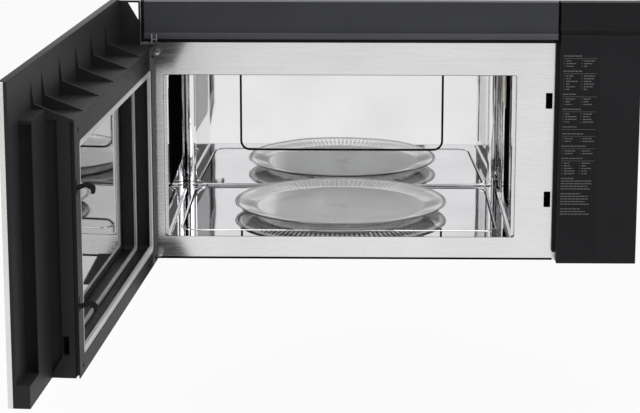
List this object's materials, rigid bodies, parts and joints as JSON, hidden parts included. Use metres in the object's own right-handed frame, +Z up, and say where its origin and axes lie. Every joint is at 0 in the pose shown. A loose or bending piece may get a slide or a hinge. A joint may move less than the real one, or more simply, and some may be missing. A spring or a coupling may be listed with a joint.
{
  "type": "over-the-range microwave oven",
  "caption": "Wall-hung microwave oven with a full-width side-hinged door standing open, a lit steel cavity with a glass turntable, and a vent hood with filters, blower and damper.",
  "frame": {"origin": "middle of the bottom edge of the wall face", "axes": "+X to the right as seen from the room, +Y into the wall, +Z up; the cavity opens towards -Y"},
  "size_m": [0.8563, 1.1544, 0.43],
  "materials": {
    "case_paint": "satin",
    "galvanised": "satin",
    "flange_steel": "brushed",
    "cavity_steel": "polished",
    "skin_steel": "brushed",
    "trim_plastic": "satin",
    "door_plastic": "fine grain",
    "control_plastic": "satin",
    "choke_paint": "satin",
    "bezel_plastic": "satin",
    "film": "matt",
    "clear_glass": "polished",
    "smoked_glass": "polished",
    "screen_steel": "perforated",
    "pale_plastic": "satin",
    "mica": "matt",
    "circuit_board": "satin",
    "filter_mesh": "mesh",
    "charcoal": "granular",
    "core_steel": "laminated",
    "motor_steel": "satin",
    "magnetron_alloy": "satin",
    "can_aluminium": "satin"
  },
  "bodies": {
    "cabinet": {"base_pan": "case_paint", "blower_housing": "galvanised", "blower_motor": "motor_steel", "capacitor": "can_aluminium", "case_screws": "motor_steel", "cavity_back_panel": "cavity_steel", "cavity_lamp": "clear_glass", "cavity_liner": "cavity_steel", "charcoal_filter": "charcoal", "control_cover": "control_plastic", "cooktop_lamps": "clear_glass", "cooling_fan_motor": "core_steel", "cooling_fan_shroud": "pale_plastic", "cord_gland": "door_plastic", "corner_cap": "trim_plastic", "exhaust_adapter": "galvanised", "fascia_clip": "motor_steel", "front_flange": "flange_steel", "guide_film": "film", "hinge_brackets": "motor_steel", "interlock_bracket": "door_plastic", "interlock_switches": "control_plastic", "magnetron": "magnetron_alloy", "outer_case": "case_paint", "power_board": "circuit_board", "rear_plate": "galvanised", "seam_strip": "door_plastic", "transformer": "core_steel", "turntable_motor": "motor_steel", "vent_fascia": "trim_plastic", "vent_louvre": "control_plastic", "wall_plate": "galvanised", "waveguide": "galvanised", "waveguide_cover": "mica"},
    "door": {"door_skin": "skin_steel", "door_glass": "smoked_glass", "touch_board": "circuit_board", "door_frame": "door_plastic", "door_choke": "choke_paint", "choke_cover": "door_plastic", "window_bezel": "bezel_plastic", "inner_glass": "smoked_glass", "door_screen": "screen_steel", "hinge_pins": "motor_steel", "latch_spring": "motor_steel"},
    "latch": {"latch_pawl": "door_plastic"},
    "turntable": {"drive_coupler": "pale_plastic", "glass_plate": "clear_glass"},
    "ring": {"roller_ring": "pale_plastic"},
    "wheel_1": {"roller_1": "pale_plastic"},
    "wheel_2": {"roller_2": "pale_plastic"},
    "wheel_3": {"roller_3": "pale_plastic"},
    "blower_rotor": {"blower_wheels": "pale_plastic"},
    "fan_rotor": {"cooling_fan": "pale_plastic"},
    "damper": {"damper_flap": "galvanised"},
    "filter_left": {"grease_filter_left": "filter_mesh"},
    "filter_right": {"grease_filter_right": "filter_mesh"},
    "lamp_door": {"lamp_cover": "clear_glass"},
    "plunger_top": {"interlock_plunger_top": "pale_plastic"},
    "plunger_bottom": {"interlock_plunger_bottom": "pale_plastic"}
  },
  "joints": [
    {"name": "door_hinge", "type": "hinge", "parent": "cabinet", "child": "door", "pos_m": [-0.3715, -0.4078, 0.167], "axis": [0, 0, 1], "range_deg": [-16, 94]},
    {"name": "latch_lift", "type": "slide", "parent": "door", "child": "latch", "axis": [0, 0, 1], "range_m": [0, 0.004], "stiffness_N_per_m": 400, "springref_m": -0.003, "deforming": ["latch_spring"]},
    {"name": "turntable_spin", "type": "hinge", "parent": "cabinet", "child": "turntable", "pos_m": [-0.0762, -0.206, 0.04], "axis": [0, 0, 1], "continuous": true},
    {"name": "ring_spin", "type": "hinge", "parent": "cabinet", "child": "ring", "pos_m": [-0.0762, -0.206, 0.0337], "axis": [0, 0, 1], "continuous": true},
    {"name": "blower_spin", "type": "hinge", "parent": "cabinet", "child": "blower_rotor", "pos_m": [0, -0.092, 0.3498], "axis": [1, 0, 0], "continuous": true},
    {"name": "fan_spin", "type": "hinge", "parent": "cabinet", "child": "fan_rotor", "pos_m": [0.28, -0.046, 0.285], "axis": [0, 1, 0], "continuous": true},
    {"name": "damper_hinge", "type": "hinge", "parent": "cabinet", "child": "damper", "pos_m": [0, -0.0793, 0.412], "axis": [-1, 0, 0], "range_deg": [0, 75]},
    {"name": "filter_left_release", "type": "hinge", "parent": "cabinet", "child": "filter_left", "pos_m": [-0.2642, -0.032, 0.004], "axis": [1, 0, 0], "range_deg": [0, 70]},
    {"name": "filter_right_release", "type": "hinge", "parent": "cabinet", "child": "filter_right", "pos_m": [0.1118, -0.032, 0.004], "axis": [1, 0, 0], "range_deg": [0, 70]},
    {"name": "lamp_cover_hinge", "type": "hinge", "parent": "cabinet", "child": "lamp_door", "pos_m": [-0.0762, -0.318, 0.003], "axis": [1, 0, 0], "range_deg": [0, 80]},
    {"name": "wheel_1_spin", "type": "hinge", "parent": "ring", "child": "wheel_1", "pos_m": [0.0306, -0.206, 0.0337], "axis": [1, 0, 0], "continuous": true},
    {"name": "wheel_2_spin", "type": "hinge", "parent": "ring", "child": "wheel_2", "pos_m": [-0.1296, -0.11351, 0.0337], "axis": [-0.5, 0.866, 0], "continuous": true},
    {"name": "wheel_3_spin", "type": "hinge", "parent": "ring", "child": "wheel_3", "pos_m": [-0.1296, -0.29849, 0.0337], "axis": [-0.5, -0.866, 0], "continuous": true},
    {"name": "plunger_top_press", "type": "slide", "parent": "cabinet", "child": "plunger_top", "axis": [0, 1, 0], "range_m": [0, 0.0035], "stiffness_N_per_m": 200, "springref_m": -0.003},
    {"name": "plunger_bottom_press", "type": "slide", "parent": "cabinet", "child": "plunger_bottom", "axis": [0, 1, 0], "range_m": [0, 0.0035], "stiffness_N_per_m": 200, "springref_m": -0.003}
  ],
  "couplings": [
    {"joint": "ring_spin", "follows": "turntable_spin", "ratio": 0.5},
    {"joint": "wheel_1_spin", "follows": "turntable_spin", "ratio": -8.2154},
    {"joint": "wheel_2_spin", "follows": "turntable_spin", "ratio": -8.2154},
    {"joint": "wheel_3_spin", "follows": "turntable_spin", "ratio": -8.2154}
  ]
}
